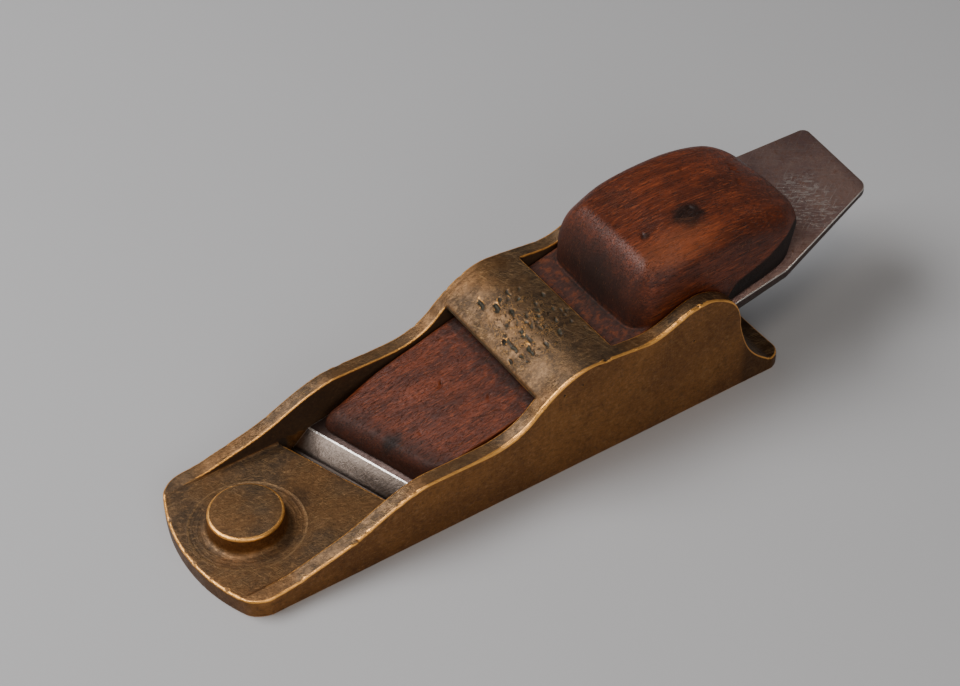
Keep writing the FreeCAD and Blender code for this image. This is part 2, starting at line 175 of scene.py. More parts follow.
def make_grid(low, high, step):
    """The three axes of an even grid that reaches a little past a box."""
    axes = [np.arange(a - 2.5 * step, b + 3.5 * step, step) for a, b in zip(low, high)]
    x = axes[0][:, None, None]
    y = axes[1][None, :, None]
    z = axes[2][None, None, :]
    return x, y, z


def grid_field(grid, values):
    """The values spread over the whole grid."""
    x, y, z = grid
    return np.ascontiguousarray(np.broadcast_to(values, (x.size, y.size, z.size)), dtype=np.float32)


def skin(grid, field):
    """The surface where a field is zero, as vertices and four-sided faces (surface nets)."""
    x, y, z = (axis.ravel() for axis in grid)
    origin = np.array([x[0], y[0], z[0]])
    step = x[1] - x[0]
    inside = field < 0
    count = np.zeros(tuple(n - 1 for n in field.shape), np.int8)
    offsets = [(i, j, k) for i in (0, 1) for j in (0, 1) for k in (0, 1)]
    for i, j, k in offsets:
        count += inside[i:i + count.shape[0], j:j + count.shape[1], k:k + count.shape[2]]
    cells = np.argwhere((count > 0) & (count < 8))
    corner = {o: field[tuple((cells + o).T)] for o in offsets}
    total = np.zeros((len(cells), 3))
    crossings = np.zeros(len(cells))
    for start in offsets:
        for axis in range(3):
            if start[axis]:
                continue
            end = tuple(start[n] + (n == axis) for n in range(3))
            a, b = corner[start], corner[end]
            crosses = (a < 0) != (b < 0)
            share = np.where(crosses, a / np.where(crosses, a - b, 1), 0)
            point = np.array(start) + share[:, None] * (np.arange(3) == axis)
            total += np.where(crosses[:, None], point, 0)
            crossings += crosses
    places = origin + step * (cells + total / crossings[:, None])
    index = np.full(count.shape, -1, np.int32)
    index[tuple(cells.T)] = np.arange(len(cells))
    quads = []
    for axis in range(3):
        a, b = [n for n in range(3) if n != axis]
        first = np.take(inside, range(inside.shape[axis] - 1), axis)
        second = np.take(inside, range(1, inside.shape[axis]), axis)
        edges = np.argwhere(first != second)
        edges = edges[(edges[:, a] > 0) & (edges[:, b] > 0)]
        step_a, step_b = np.eye(3, dtype=int)[a], np.eye(3, dtype=int)[b]
        around = [index[tuple((edges - move).T)] for move in (step_a + step_b, step_b, 0 * step_a, step_a)]
        quad = np.stack(around, axis=1)
        flip = inside[tuple(edges.T)] != (axis == 1)
        quad[~flip] = quad[~flip][:, ::-1]
        quads.append(quad)
    return places, np.vstack(quads)


def sample(grid, field, places):
    """The field at any places in the grid, between its points."""
    origin = np.array([axis.ravel()[0] for axis in grid])
    step = grid[0].ravel()[1] - grid[0].ravel()[0]
    wanted = (places - origin) / step
    at = np.clip(wanted, 0, np.array(field.shape) - 1.001)
    beyond = np.linalg.norm(wanted - at, axis=1) * step
    base = at.astype(int)
    part = at - base
    result = 0.0
    for i in (0, 1):
        for j in (0, 1):
            for k in (0, 1):
                weight = np.prod(np.where([i, j, k], part, 1 - part), axis=1)
                result = result + weight * field[base[:, 0] + i, base[:, 1] + j, base[:, 2] + k]
    return result + beyond


def mesh_object(name, places, faces):
    """A smooth-shaded Blender object from vertices in millimetres."""
    mesh = bpy.data.meshes.new(name)
    mesh.from_pydata((places * MM).tolist(), [], faces.tolist())
    mesh.validate()
    piece = bpy.data.objects.new(name, mesh)
    bpy.context.scene.collection.objects.link(piece)
    mesh.polygons.foreach_set("use_smooth", np.ones(len(mesh.polygons), bool))
    return piece


def apply_modifiers(piece):
    """Makes the piece's modifiers part of its mesh."""
    bpy.context.view_layer.update()
    evaluated = piece.evaluated_get(bpy.context.evaluated_depsgraph_get())
    mesh = bpy.data.meshes.new_from_object(evaluated)
    piece.modifiers.clear()
    piece.data = mesh
    return piece


def thin_out(piece, most_triangles):
    """Fewer triangles where the surface is flat, so that the mesh is a reasonable size."""
    piece.data.calc_loop_triangles()
    triangles = len(piece.data.loop_triangles)
    if triangles > most_triangles:
        fewer = piece.modifiers.new("fewer", "DECIMATE")
        fewer.ratio = most_triangles / triangles
        apply_modifiers(piece)
        piece.data.polygons.foreach_set("use_smooth", np.ones(len(piece.data.polygons), bool))
    return piece


def vertex_arrays(piece):
    """The places, in millimetres, and the normals of a piece's vertices."""
    mesh = piece.data
    count = len(mesh.vertices)
    places, normals = np.zeros(count * 3), np.zeros(count * 3)
    mesh.vertices.foreach_get("co", places)
    mesh.vertices.foreach_get("normal", normals)
    return places.reshape(-1, 3) / MM, normals.reshape(-1, 3)


def store(piece, name, values):
    """Keeps one number for each vertex, for the materials to read."""
    layer = piece.data.attributes.new(name, "FLOAT", "POINT")
    layer.data.foreach_set("value", np.clip(values, 0, 1).astype(np.float32))


def store_wear(piece, grid, field, rubbed=None, reach=0.5):
    """Stores how exposed each vertex is: wear on outward edges, and how enclosed it is, which the materials darken
    as dirt and painted shade in hollows and narrow gaps.
    """
    places, normals = vertex_arrays(piece)
    around = np.zeros(len(places))
    for axis in range(3):
        for sign in (-1, 1):
            around += sample(grid, field, places + sign * reach * np.eye(3)[axis])
    bend = around / 6 / reach
    extra = 0.0 if rubbed is None else rubbed(places)
    store(piece, "wear", bend * 3.4 + extra)
    # How enclosed each vertex is: an occlusion measure that the materials paint as shade and dirt.
    covered = np.zeros(len(places))
    for distance in (0.8, 1.6, 3.2, 6.0):
        out = places + normals * distance
        clear = sample(grid, field, out)
        covered += np.clip((distance - clear) / distance, 0, 1) / 4
    store(piece, "enclosure_dirt_and_shade", covered)


# ---------------------------------------------------------------- the casting


def cheek_top_line():
    """The upper outline of a cheek, read from its CAD mesh."""
    mesh = frame["nodes"]["left_cheek"].data
    points = {
        (round(v.co.x / MM, 3), round(v.co.z / MM, 3))
        for v in mesh.vertices
        if v.co.y / MM < CHEEK_LOW[1] + 0.01 and v.co.z / MM > HEEL_LOW[2] + 0.5
    }
    return sorted(points)


def side_outline():
    """The casting's outline from the side, run out past the toe and heel, which the plan cuts."""
    top = [p for p in cheek_top_line() if p[0] > TOE_HIGH[0] - 38]
    heel_top = top[-1][1]
    toe_rise = [(-110.0, 5.35), (-88.0, 5.35), (-82.0, 5.5)]
    heel_run = [(HEEL_HIGH[0] - 2.0, heel_top - 0.1), (110.0, heel_top - 0.1)]
    line = smooth_curve(toe_rise + top + heel_run, steps=4)
    return np.vstack([line, [(110.0, 0.0), (-110.0, 0.0)]])


def plan_distance(x, y):
    """The casting seen from above: a rounded toe, straight sides and a square heel."""
    sides = np.abs(y) - HALF_WIDTH
    toe = np.where(x < -45, np.hypot(x - (TOE_LOW[0] + TOE_RADIUS), y) - TOE_RADIUS, -20.0)
    heel = x - HEEL_HIGH[0]
    return both(both(sides, toe, 4.0), heel, 4.5)


def mouth_front(y, z):
    """Where the plate in front of the mouth ends: nearly upright, and skewed more at the top."""
    at_sole = TOE_HIGH[0] - SKEW * INNER
    height = np.clip(z / PLATFORM, 0, 1)
    return at_sole + 0.7 * height - (SKEW + 0.045 * height) * y


def button_distance(x, y, z):
    """The low round button on the toe: a softened rim and a top that is very slightly domed."""
    out = np.hypot(x - BUTTON_X, y)
    side = out - BUTTON_RADIUS - 0.12 * ramp(-z, -PLATFORM - 3.5, -PLATFORM)
    top = z - BUTTON_HIGH[2] + 0.002 * out**2
    return both(both(side, top, 0.5), PLATFORM - 1.0 - z)


def pit_distance(x, y, z, place, size, turn):
    """A long shallow hollow: size is its half length, half width and depth."""
    along = (x - place[0]) * math.sin(turn) + (y - place[1]) * math.cos(turn)
    across = (x - place[0]) * math.cos(turn) - (y - place[1]) * math.sin(turn)
    across = across + 0.22 * np.sin(1.7 * along + 3.0 * place[0])
    uneven = 0.2 * np.sin(3.1 * along + 2.0 * place[0]) + 0.12 * np.sin(4.7 * across + place[1])
    reach = np.sqrt((along / size[0]) ** 2 + (across / size[1]) ** 2 + ((z - place[2]) / size[2]) ** 2)
    return (reach - 1.0 + 0.8 * uneven) * min(size)


def bridge_pits(surface):
    """Casting pits across the middle of the bridge, long ones and small ones."""
    long_ones = [(10.0, 12.2, 2.0, 0.55), (11.8, 7.6, 2.0, 0.62), (13.9, 9.6, 1.0, 0.42),
                 (14.0, 3.8, 1.3, 0.55), (17.2, 10.4, 1.2, 0.42), (17.8, 6.5, 0.8, 0.42),
                 (8.4, -5.0, 1.9, 0.5), (7.6, -1.8, 1.0, 0.5), (15.2, -3.6, 1.2, 0.45),
                 (10.6, -9.6, 1.8, 0.55), (19.6, -9.8, 1.1, 0.5), (24.4, 4.8, 1.0, 0.45),
                 (12.4, -6.6, 1.6, 0.42), (18.4, -1.6, 0.9, 0.42), (14.4, -11.4, 1.6, 0.42),
                 (21.6, -5.6, 1.1, 0.4), (16.2, 0.4, 0.8, 0.42), (20.4, 2.4, 0.9, 0.42),
                 (11.0, 1.4, 0.8, 0.42), (5.9, -7.5, 0.9, 0.38)]
    pits = []
    for px, py, half_length, half_width in long_ones:
        size = (half_length * 1.15, half_width, 0.28 + 0.35 * half_width)
        pits.append(((px, py), size, RANDOM.uniform(0.1, 0.55)))
    for _ in range(22):
        place = (RANDOM.uniform(8, 27), RANDOM.normal(-1.0, 8.0))
        size = RANDOM.uniform(0.34, 0.46)
        pits.append((place, (size * 2.2, size * 0.9, 0.34), RANDOM.uniform(-0.2, 0.8)))
    return [((px, py, surface(px) + 0.03), size, turn) for (px, py), size, turn in pits]


def edge_nicks(surface):
    """Small knocks along the outer top edges and the toe's rim, and a few dents in the sides."""
    nicks = []
    for _ in range(26):
        px = RANDOM.uniform(-78, 64)
        side = RANDOM.choice([-1, 1])
        size = RANDOM.uniform(0.35, 0.8)
        nicks.append(((px, side * HALF_WIDTH, surface(px)), (size, size * 1.6, size * 0.5)))
    for _ in range(9):
        angle = RANDOM.uniform(-0.42, 0.42)
        place = (TOE_LOW[0] + TOE_RADIUS * (1 - math.cos(angle)), TOE_RADIUS * math.sin(angle), PLATFORM - 0.2)
        size = RANDOM.uniform(0.3, 0.6)
        nicks.append((place, (size, size * 1.4, size * 0.6)))
    dents = ((10.9, -1, 27.4), (16.2, -1, 28.2), (52.0, -1, 24.8), (-12.0, 1, 9.0), (31.0, 1, 17.0))
    for px, side, pz in dents:
        nicks.append(((px, side * HALF_WIDTH, pz), (0.9, 0.22, 0.4)))
    return nicks


def carve(grid, field, place, size, turn=0.0, soften=0.12):
    """Cuts one small hollow, working only on the slices of the grid that it reaches."""
    x, y, z = grid
    reach = max(size[0], size[1]) * 1.5 + 1.0
    near_x = np.flatnonzero(np.abs(x.ravel() - place[0]) < reach)
    near_y = np.flatnonzero(np.abs(y.ravel() - place[1]) < reach)
    if len(near_x) == 0 or len(near_y) == 0:
        return
    part_x, part_y = slice(near_x[0], near_x[-1] + 1), slice(near_y[0], near_y[-1] + 1)
    hollow = pit_distance(x[part_x], y[:, part_y], z, place, size, turn)
    field[part_x, part_y] = both(field[part_x, part_y], -hollow, soften)


def worn_stretch(x):
    """Where hands have polished the top edges most: the two hollow stretches before the humps."""
    return ramp(x, -18, -6) * ramp(-x, -20, -9) + ramp(x, 34, 41) * ramp(-x, -58, -50)


def edge_wear_and_glint(places):
    """Extra wear along the outer top edges and around the button's rim; the left side's double strength is partly
    a painted glint, and the rim's lower left side carries a painted highlight.
    """
    x, y, z = places.T
    level = np.interp(x, *np.array(cheek_top_line()).T)
    away = np.hypot(HALF_WIDTH - np.abs(y), level - z)
    strength = 0.2 + 0.7 * worn_stretch(x)
    edge = strength * np.where(y < 0, 1.0, 0.5) * np.clip((0.95 - away) / 0.5, 0, 1) * (x < 66)
    out = np.hypot(x - BUTTON_X, y)
    from_rim = np.hypot(out - BUTTON_RADIUS + 0.15, z - BUTTON_HIGH[2] + 0.25)
    # Painted highlight: the rim is brighter towards its lower left side.
    rim_highlight_side = 0.5 - 0.5 * (0.54 * (x - BUTTON_X) + 0.84 * y) / np.maximum(out, 1e-6)
    rim = (0.1 + 0.75 * rim_highlight_side) * np.clip((0.8 - from_rim) / 0.4, 0, 1)
    return edge + rim - 0.22 * (z < 1.5)


def shape_casting(grid):
    """The one-piece bronze body: sole, cheeks, bed, bridge, scooped heel and toe button."""
    x, y, z = grid
    outline = side_outline()
    side = outline_distance(x[:, :, 0], z[:, 0, :], outline)[:, None, :]
    plan = plan_distance(x, y)
    round_by_height = 0.3 + (0.15 + 0.3 * worn_stretch(x)) * ramp(z, 1.0, 3.5)
    block = both(side, plan, round_by_height)

    walls = np.abs(y) - INNER
    around_button = np.hypot(x - BUTTON_X, y)
    turned_dish = 0.12 * (1 - ramp(around_button, 14.2, 15.6))
    floor = PLATFORM - 0.2 - turned_dish
    past_mouth = x + 30.0
    above_plate = both(both(walls, floor - z, 1.0), past_mouth)
    behind_mouth = mouth_front(y, z) - x
    above_bed = (bed_height(x, y) - z) / math.hypot(1, BED_SLOPE)
    bed_front = BED_LOW[0] + SKEW * (INNER - np.clip(y, -INNER, INNER))
    in_slot = np.where(z < PLATFORM, x - bed_front, 1e3)
    throat = both(both(walls, behind_mouth), np.minimum(above_bed, in_slot))
    body = both(block, -np.minimum(above_plate, throat), 0.12 + 0.2 * ramp(z, 2.0, 4.5))

    under = wedge_upper(x) + 0.15
    below_arch = (under - z) / math.hypot(1, WEDGE_SLOPE)
    lip = BRIDGE_LOW[0] + 0.85 * np.clip(BRIDGE_LIP - 0.8 - z, 0, None)
    span = both(both(side, lip - x, 0.55), x - BRIDGE_HIGH[0], 0.3)
    bar = both(both(span, below_arch, 0.2), np.abs(y) - INNER - 2.0)
    body = either(body, bar, 0.3)
    tunnel = both(both(walls, -below_arch), np.maximum(above_bed, -past_mouth))
    body = both(body, -tunnel)
    body = either(body, button_distance(x, y, z), 1.7)
    body = grid_field(grid, body)
    body += (0.035 * ripple(x, y, z, 23.0, 3)).astype(np.float32)

    line = outline[outline[:, 1] > 0]

    def surface(px):
        return float(np.interp(px, line[:, 0], line[:, 1]))

    for place, size, turn in bridge_pits(surface):
        carve(grid, body, place, size, turn)
    for place, size in edge_nicks(surface):
        carve(grid, body, place, size, 0.0, 0.2)
    return body


# ---------------------------------------------------------------- the wooden wedge


def swell_top(x):
    """The palm swell's crown from front to rear."""
    rise = smooth_curve([(30.0, 44.6), (36.6, 47.0), (41.7, 48.5), (48.9, 49.7), (56.0, 51.0), (63.5, 51.7),
                         (71.0, 51.8), (78.6, 51.0), (84.7, 49.6), (90.3, 47.3), (94.5, 44.8), (100.0, 40.6)])
    return np.interp(x, rise[:, 0], rise[:, 1])


def swell_tuck(x):
    """The line below which the swell's sides and rear tuck in, rising from the iron to the rear."""
    rise = smooth_curve([(58.0, 16.0), (66.5, 29.0), (69.5, 33.2), (74.3, 35.2), (78.6, 36.8), (82.4, 39.1),
                         (85.8, 42.0), (89.0, 43.6), (100.0, 44.4)])
    return np.interp(x, rise[:, 0], rise[:, 1])


def shape_wedge(grid):
    """The tapered front that passes under the bridge, and the palm swell that grows from its rear."""
    x, y, z = grid
    on_iron = (iron_top(x, y) + 0.1 - z) / np.hypot(1, IRON_SLOPE)
    upper = (z - wedge_upper(x)) / math.hypot(1, WEDGE_SLOPE)
    nose = (SHANK_LOW[0] + SKEW * (WEDGE_HALF - y) - x) / math.hypot(1, SKEW)
    narrowing = 0.035 * np.clip(5.0 - x, 0, 40)
    sides = np.abs(y) - WEDGE_HALF + narrowing
    front_plan = both(sides, nose, 4.2)
    shank = both(front_plan, upper, 0.5 + 3.4 * ramp(-x, 17, 34))
    shank = both(shank, x - (SWELL_LOW[0] + 8.0))

    front = SWELL_LOW[0] + 0.03 * (z - SHANK_HIGH[2]) + 0.002 * y**2 - x
    flank = np.abs(y) - WEDGE_HALF
    rear = x - SWELL_HIGH[0] - 0.3 + 0.003 * y**2
    tuck = 0.17 * np.clip(swell_tuck(x) - z, 0, 14.0)
    plan = both(both(flank, front, 6.2), rear, 10.5) + tuck
    crown = (z - swell_top(x) + 0.0034 * y**2) / 1.05
    palm = both(plan, crown, 4.4 + 5.4 * ramp(-x, -53, -38) + 2.0 * ramp(x, 70, 92))
    wedge = either(shank, palm, 0.35)
    wedge = both(wedge, on_iron, 0.25)
    wedge = grid_field(grid, wedge)
    wedge += (0.07 * ripple(x, y, z, 17.0, 11)).astype(np.float32)
    for px, py, size, turn in ((-9.0, 3.5, 1.5, 0.9), (-21.0, -6.0, 0.9, 0.4), (-2.0, -9.0, 0.7, 1.3)):
        carve(grid, wedge, (px, py, wedge_upper(px) + 0.1), (size, size * 0.3, 0.4), turn, 0.25)
    for px, py, size, turn in ((61.7, -6.7, 2.6, 1.2), (48.0, -6.4, 1.0, 0.8), (85.0, 3.0, 2.2, 0.3),
                               (82.0, -4.0, 1.6, 0.6), (72.0, 8.0, 1.2, 1.0)):
        top = float(swell_top(px)) - 0.0036 * py**2
        carve(grid, wedge, (px, py, top + 0.15), (size, size * 0.45, 0.45), turn, 0.3)
    return wedge


# ---------------------------------------------------------------- materials


class Nodes:
    """A short way to write a material's nodes."""

    def __init__(self, name):
        self.material = bpy.data.materials.new(name)
        self.material.use_nodes = True
        self.tree = self.material.node_tree
        self.shader = self.tree.nodes["Principled BSDF"]
        place = self.tree.nodes.new("ShaderNodeTexCoord")
        self.place = self.vector("SCALE", place.outputs["Object"], scale=1 / MM)
        self.normal = self.tree.nodes.new("ShaderNodeNewGeometry").outputs["Normal"]

    def put(self, socket, value):
        if isinstance(value, bpy.types.NodeSocket):
            self.tree.links.new(value, socket)
        else:
            socket.default_value = value

    def vector(self, operation, a, b=None, scale=None):
        made = self.tree.nodes.new("ShaderNodeVectorMath")
        made.operation = operation
        self.put(made.inputs[0], a)
        if b is not None:
            self.put(made.inputs[1], b)
        if scale is not None:
            made.inputs["Scale"].default_value = scale
        return made.outputs["Value" if operation in ("LENGTH", "DISTANCE", "DOT_PRODUCT") else "Vector"]

    def math(self, operation, a, b=0.0):
        made = self.tree.nodes.new("ShaderNodeMath")
        made.operation = operation
        for socket, value in zip(made.inputs, (a, b)):
            self.put(socket, value)
        return made.outputs[0]

    def step(self, value, low, high, to_low=0.0, to_high=1.0):
        """A smooth step of a value between two limits."""
        made = self.tree.nodes.new("ShaderNodeMapRange")
        made.interpolation_type = "SMOOTHSTEP"
        for socket, number in zip(made.inputs, (value, low, high, to_low, to_high)):
            self.put(socket, number)
        return made.outputs[0]

    def noise(self, scale, detail=4.0, roughness=0.55, stretch=None, turn=None, offset=None):
        """Noise whose scale is in features for each millimetre."""
        place = self.place
        if offset is not None:
            place = self.vector("ADD", place, offset)
        if turn is not None:
            spun = self.tree.nodes.new("ShaderNodeVectorRotate")
            spun.rotation_type = "EULER_XYZ"
            self.put(spun.inputs["Vector"], place)
            spun.inputs["Rotation"].default_value = turn
            place = spun.outputs[0]
        if stretch is not None:
            place = self.vector("MULTIPLY", place, stretch)
        made = self.tree.nodes.new("ShaderNodeTexNoise")
        made.noise_type = "FBM"
        self.put(made.inputs["Vector"], place)
        made.inputs["Scale"].default_value = scale
        made.inputs["Detail"].default_value = detail
        made.inputs["Roughness"].default_value = roughness
        return made.outputs["Fac"]

    def mix(self, share, a, b):
        """Two colours mixed."""
        made = self.tree.nodes.new("ShaderNodeMix")
        made.data_type = "RGBA"
        self.put(made.inputs["Factor"], share)
        self.put(made.inputs["A"], a)
        self.put(made.inputs["B"], b)
        return made.outputs["Result"]

    def blend(self, share, a, b):
        """Two numbers mixed."""
        made = self.tree.nodes.new("ShaderNodeMix")
        made.data_type = "FLOAT"
        self.put(made.inputs["Factor"], share)
        self.put(made.inputs["A"], a)
        self.put(made.inputs["B"], b)
        return made.outputs["Result"]

    def attribute(self, name):
        made = self.tree.nodes.new("ShaderNodeAttribute")
        made.attribute_name = name
        return made.outputs["Fac"]

    def axis(self, vector, name):
        made = self.tree.nodes.new("ShaderNodeSeparateXYZ")
        self.put(made.inputs[0], vector)
        return made.outputs[name]

    def distance_to(self, centre, stretch=(1.0, 1.0, 1.0)):
        """Millimetres from a place, shortened or lengthened by stretch along each axis."""
        moved = self.vector("SUBTRACT", self.place, centre)
        return self.vector("LENGTH", self.vector("MULTIPLY", moved, stretch))

    def bump(self, height, distance, under=None):
        """Raises the surface by height times distance, in millimetres."""
        made = self.tree.nodes.new("ShaderNodeBump")
        made.inputs["Strength"].default_value = 1.0
        made.inputs["Distance"].default_value = distance * MM
        self.put(made.inputs["Height"], height)
        if under is not None:
            self.put(made.inputs["Normal"], under)
        return made.outputs["Normal"]


def colour(red, green, blue):
    """A display colour, 0 to 255, as the linear colour that a shader takes."""
    linear = [((c / 255 + 0.055) / 1.055) ** 2.4 if c > 10 else c / 255 / 12.92 for c in (red, green, blue)]
    return (*linear, 1.0)


def hairlines(n, angle, width, share, seed, length=0.06):
    """Fine straight scratches at an angle in plan: 1 on a scratch and 0 elsewhere."""
    streak = n.noise(1.0, 2, 0.6, stretch=(length, 1.0 / width, 0.4), turn=(0.0, 0.0, angle), offset=seed)
    return n.step(streak, 0.5 + share, 0.54 + share)


def gunmetal():
    """Old bronze: a brown patina, olive-gold where handled, bright on worn edges with some painted glint, and dark
    in hollows with dirt and painted shade.
    """
    n = Nodes("gunmetal")
    up = n.step(n.axis(n.normal, "Z"), 0.35, 0.85)
    cloud = n.noise(0.05, 4, 0.55)
    mottle = n.noise(0.28, 7, 0.68, offset=(9.0, 4.0, 1.0))
    speck = n.noise(1.9, 4, 0.7, offset=(2.0, 8.0, 5.0))
    grit = n.noise(1.1, 6, 0.75, stretch=(0.6, 1.0, 1.0), turn=(0.0, 0.0, 0.4), offset=(7.0, 3.0, 3.0))
    wear = n.attribute("wear")
    enclosure_dirt_and_shade = n.attribute("enclosure_dirt_and_shade")

    # Upward faces take a cooler, greyer tone than the sides: partly handled patina, partly painted light from
    # above.
    side = n.mix(n.step(cloud, 0.3, 0.7), colour(118, 77, 40), colour(144, 97, 50))
    side = n.mix(n.math("MULTIPLY", n.step(mottle, 0.5, 0.7), 0.45), side, colour(92, 58, 32))
    top = n.mix(n.step(mottle, 0.35, 0.62), colour(116, 90, 65), colour(82, 66, 51))
    top = n.mix(n.math("MULTIPLY", n.step(cloud, 0.42, 0.62), 0.55), top, colour(134, 92, 52))
    base = n.mix(up, side, top)
    base = n.mix(n.math("MULTIPLY", n.step(speck, 0.56, 0.68), 0.6), base, colour(58, 41, 28))
    base = n.mix(n.math("MULTIPLY", n.step(grit, 0.5, 0.62), 0.4), base, colour(62, 46, 33))
    base = n.mix(n.math("MULTIPLY", n.step(grit, 0.46, 0.36), 0.35), base, colour(176, 134, 88))
    # Painted shade: the toe's end faces past x = -78 that do not face up are darkened.
    toe_end_shade = n.step(n.axis(n.place, "X"), -78.0, -86.0)
    base = n.mix(n.math("MULTIPLY", n.math("MULTIPLY", toe_end_shade, n.math("SUBTRACT", 1.0, up)), 0.6), base,
                 colour(60, 40, 24))
    # Painted shade: the heel scoop and everything past x = 68, the sole there too, is darkened.
    base = n.mix(n.math("MULTIPLY", n.step(n.axis(n.place, "X"), 68.0, 71.0), 0.55), base, colour(52, 36, 24))

    along = hairlines(n, 0.05, 0.16, 0.1, (1.0, 2.0, 3.0), 0.14)
    across = hairlines(n, 1.25, 0.2, 0.12, (5.0, 1.0, 8.0), 0.2)
    slanted = hairlines(n, 0.62, 0.18, 0.12, (7.0, 7.0, 2.0), 0.16)
    lines = n.math("MAXIMUM", along, n.math("MAXIMUM", across, slanted))
    lines = n.math("MULTIPLY", lines, n.step(n.noise(0.12, 3, offset=(1.0, 1.0, 1.0)), 0.38, 0.62))
    lines = n.math("MULTIPLY", lines, n.blend(up, 0.25, 1.0))
    base = n.mix(n.math("MULTIPLY", lines, 0.38), base, colour(200, 160, 110))

    from_button = n.distance_to((BUTTON_X, 0.0, PLATFORM), (1.0, 1.0, 0.3))
    wobble = n.math("MULTIPLY", n.math("SUBTRACT", mottle, 0.5), 1.4)
    ring_place = n.math("ADD", from_button, wobble)
    turned = n.math("SINE", n.math("MULTIPLY", ring_place, 4.6))
    on_plate = n.math("MULTIPLY", n.step(from_button, 19.0, 14.0), n.step(from_button, 9.9, 10.6))
    turned = n.math("MULTIPLY", n.step(turned, 0.2, 0.9), on_plate)
    base = n.mix(n.math("MULTIPLY", turned, 0.16), base, colour(60, 46, 34))
    uneven = n.math("ADD", from_button, n.math("MULTIPLY", wobble, 0.3))
    ring = n.step(n.math("ABSOLUTE", n.math("SUBTRACT", uneven, 15.1)), 0.45, 0.1)
    ring = n.math("MULTIPLY", ring, n.step(speck, 0.35, 0.6))
    base = n.mix(n.math("MULTIPLY", ring, 0.5), base, colour(168, 132, 90))

    stain = n.math("ADD", n.distance_to((-53.6, 0.5, PLATFORM), (0.5, 0.3, 0.3)),
                   n.math("MULTIPLY", n.math("SUBTRACT", mottle, 0.5), 5.0))
    base = n.mix(n.math("MULTIPLY", n.step(stain, 2.2, 0.2), 0.5), base, colour(50, 41, 35))

    patch = n.attribute("patch")
    wrinkle = n.noise(0.42, 3, 0.6, stretch=(1.5, 0.75, 1.0), turn=(0.0, 0.0, 0.3), offset=(6.0, 2.0, 9.0))
    seam = n.step(n.math("ABSOLUTE", n.math("SUBTRACT", wrinkle, 0.5)), 0.022, 0.006)
    seam = n.math("MULTIPLY", seam, n.math("MULTIPLY", patch, n.step(mottle, 0.42, 0.52)))
    dots = n.noise(1.3, 3, 0.6, stretch=(1.0, 0.42, 1.0), turn=(0.0, 0.0, 0.3), offset=(4.0, 9.0, 2.0))
    dots = n.math("MULTIPLY", n.step(dots, 0.58, 0.63), n.step(patch, 0.1, 0.5))
    base = n.mix(n.math("MULTIPLY", dots, 0.8), base, colour(40, 34, 26))
    base = n.mix(n.math("MULTIPLY", seam, 0.7), base, colour(226, 168, 96))

    # The casting's wear numbers also hold a painted glint on the left top edges and a painted highlight on the
    # button rim's lower left side.
    rubbed = n.math("MULTIPLY", n.step(wear, 0.25, 0.6), n.step(mottle, 0.25, 0.5, 0.4, 1.0))
    rubbed = n.math("MULTIPLY", rubbed, n.math("SUBTRACT", 1.0, n.math("MULTIPLY", patch, 0.6)))
    base = n.mix(rubbed, base, colour(252, 180, 92))
    # Hollows and narrow gaps are darkened as dirt and painted shade, with pure painted shade added inside the
    # cheeks and under the bridge's lip.
    dirt_and_shade_mask = n.step(n.math("ADD", enclosure_dirt_and_shade, n.math("MULTIPLY", n.math("SUBTRACT", mottle, 0.5), 0.3)), 0.2, 0.5)
    dirt_and_shade_mask = n.math("MAXIMUM", dirt_and_shade_mask, n.attribute("inner"))
    base = n.mix(n.math("MULTIPLY", dirt_and_shade_mask, 0.9), base, colour(30, 21, 14))
    pitted = n.attribute("pits")
    crust = n.mix(n.step(speck, 0.45, 0.6), colour(38, 30, 22), colour(52, 60, 44))
    base = n.mix(n.math("MULTIPLY", pitted, 0.85), base, crust)
    n.put(n.shader.inputs["Base Color"], base)
    n.put(n.shader.inputs["Metallic"], n.blend(n.math("MAXIMUM", dirt_and_shade_mask, pitted), 0.85, 0.2))
    rough = n.blend(n.step(mottle, 0.3, 0.7), 0.4, 0.54)
    rough = n.blend(rubbed, rough, 0.28)
    rough = n.blend(dirt_and_shade_mask, rough, 0.8)
    n.put(n.shader.inputs["Roughness"], rough)
    grain = n.bump(n.noise(0.9, 6, 0.7), 0.06)
    fine = n.bump(n.math("ADD", speck, grit), 0.06, under=grain)
    marks = n.bump(n.math("SUBTRACT", seam, n.math("ADD", lines, dots)), 0.06, under=fine)
    n.put(n.shader.inputs["Normal"], n.bump(n.math("ADD", turned, ring), 0.02, under=marks))
    return n.material


